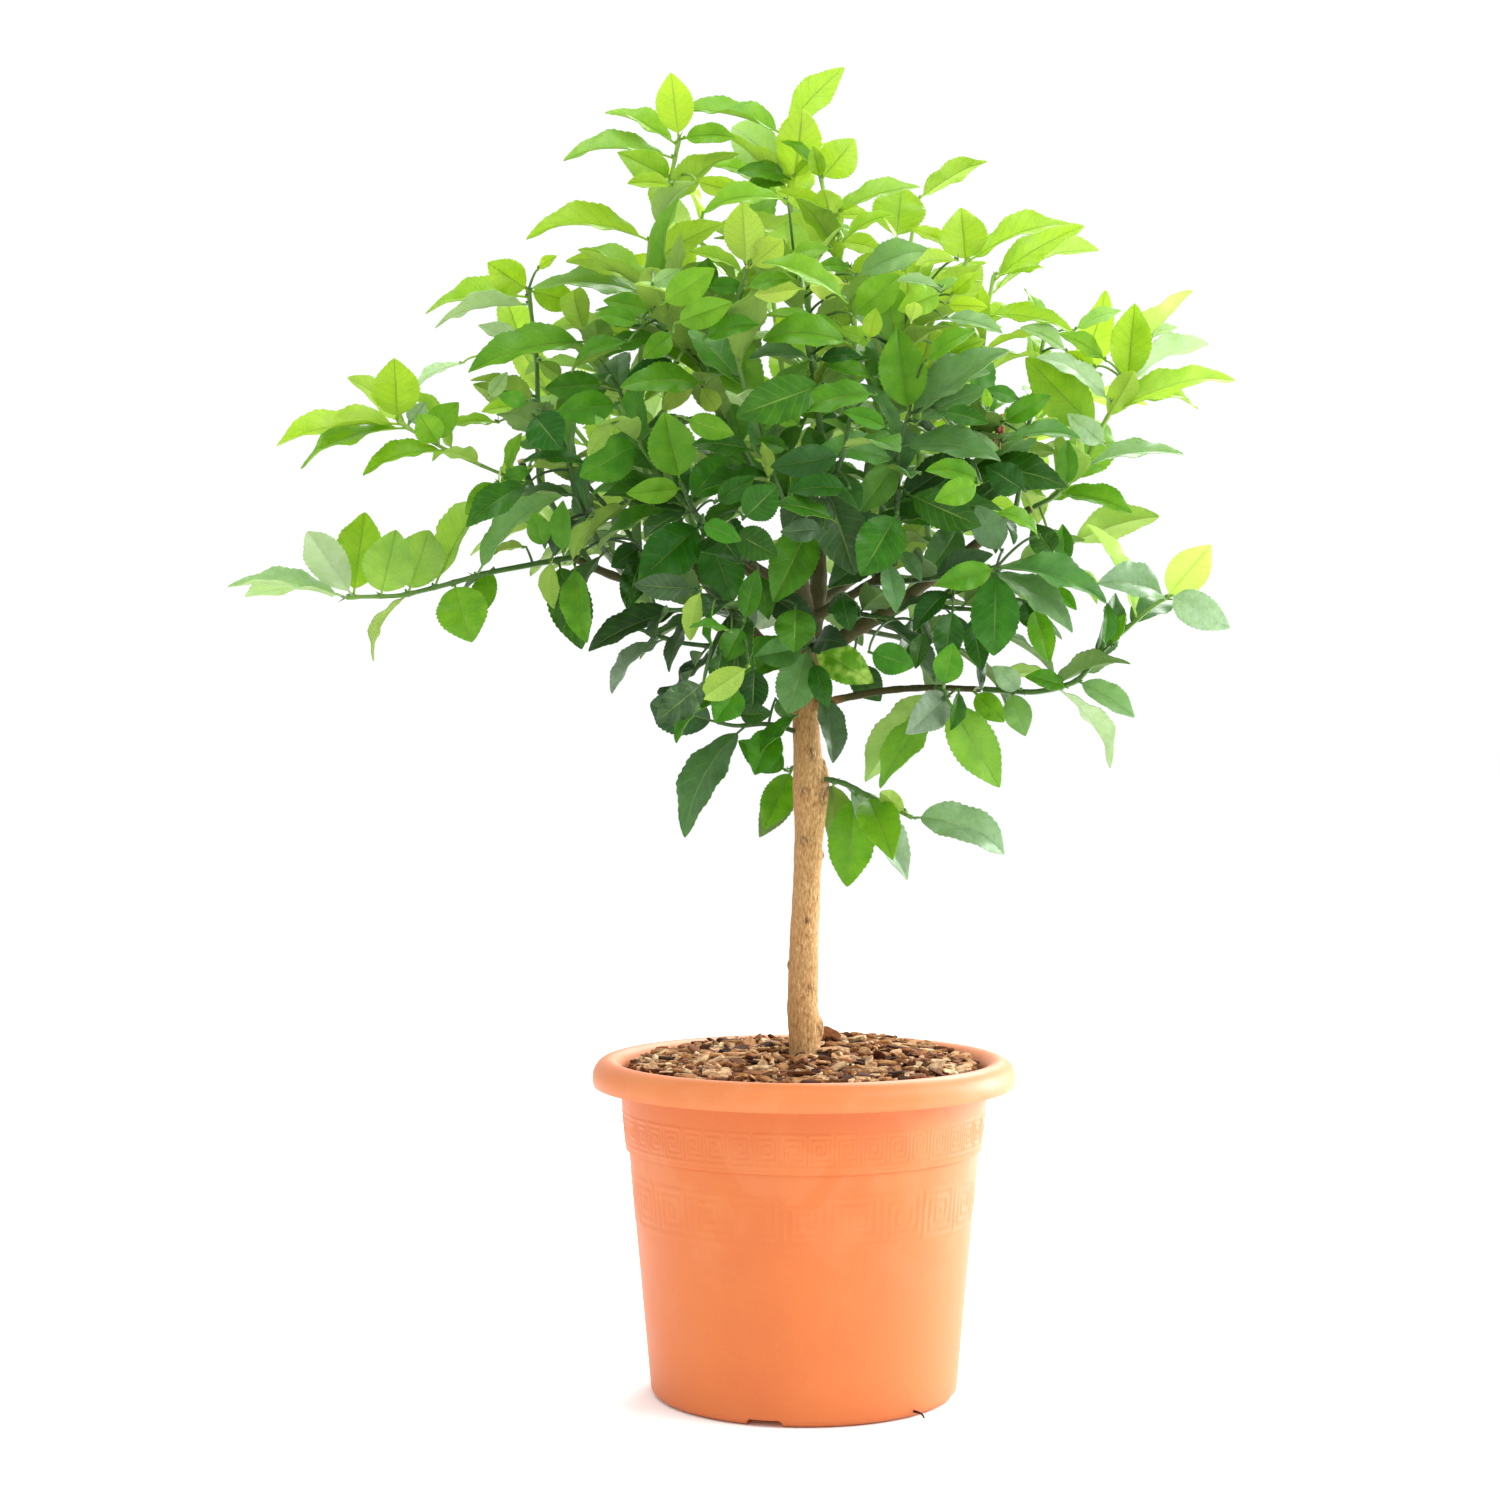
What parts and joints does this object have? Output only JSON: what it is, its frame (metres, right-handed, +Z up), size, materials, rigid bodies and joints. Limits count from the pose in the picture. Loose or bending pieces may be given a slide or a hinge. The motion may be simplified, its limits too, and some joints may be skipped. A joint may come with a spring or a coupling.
{
  "type": "potted lemon tree",
  "caption": "Young lemon tree with a straight grafted stem and a broad leafy crown, standing in a round tapered terracotta-coloured plastic pot with soil and bark mulch.",
  "frame": {"origin": "middle of the pot's foot, on the surface that it stands on", "axes": "+Z up along the stem, -Y towards the front of the tree, +X to the right as seen from the front"},
  "size_m": [0.8462, 0.5754, 1.1307],
  "materials": {
    "pot_plastic": "satin",
    "compost": "matte",
    "bark_mulch": "matte",
    "bark": "matte",
    "leaf_dark": "satin",
    "leaf_mid": "satin",
    "leaf_light": "satin"
  },
  "bodies": {
    "root": {"pot": "pot_plastic", "soil": "compost", "mulch": "bark_mulch", "trunk": "bark", "shoot_crown_left": "leaf_light", "shoot_crown_top": "leaf_light", "shoot_crown_mid_right": "leaf_light", "shoot_crown_mid_left": "leaf_mid", "shoot_crown_inner_left": "leaf_mid", "shoot_crown_inner_right": "leaf_mid", "shoot_crown_right": "leaf_light", "shoot_crown_right_outer": "leaf_light", "shoot_crown_back": "leaf_light", "shoot_crown_back_left": "leaf_light", "shoot_crown_back_right": "leaf_light", "shoot_left_upright": "leaf_mid", "shoot_left_mid": "leaf_mid", "shoot_left_spray": "leaf_light", "shoot_left_low_spray": "leaf_mid", "shoot_left_back": "leaf_light", "shoot_left_back_low": "leaf_mid", "shoot_left_inner": "leaf_dark", "shoot_left_front": "leaf_mid", "shoot_left_front_low": "leaf_dark", "shoot_right_spray": "leaf_light", "shoot_right_upper": "leaf_mid", "shoot_right_low_spray": "leaf_mid", "shoot_right_hanging": "leaf_mid", "shoot_right_front": "leaf_dark", "shoot_right_front_low": "leaf_dark", "shoot_right_mid": "leaf_dark", "shoot_right_back": "leaf_light", "shoot_right_back_low": "leaf_mid", "shoot_front_low": "leaf_dark", "shoot_front_mid": "leaf_dark", "shoot_front_left_high": "leaf_mid", "shoot_front_high": "leaf_mid", "shoot_front_right_high": "leaf_mid", "shoot_back_low": "leaf_dark", "shoot_back_mid": "leaf_mid", "shoot_back_left_mid": "leaf_mid", "shoot_back_right_mid": "leaf_mid", "shoot_left_middle": "leaf_dark", "shoot_left_near": "leaf_dark", "shoot_front_low_left": "leaf_dark", "shoot_front_low_right": "leaf_dark", "shoot_under_left": "leaf_dark", "shoot_under_right": "leaf_dark", "shoot_inner_right": "leaf_dark", "shoot_inner_left": "leaf_dark", "shoot_low_left_twig": "leaf_dark", "shoot_low_back_twig": "leaf_mid", "shoot_low_right_twig": "leaf_mid"}
  },
  "joints": []
}
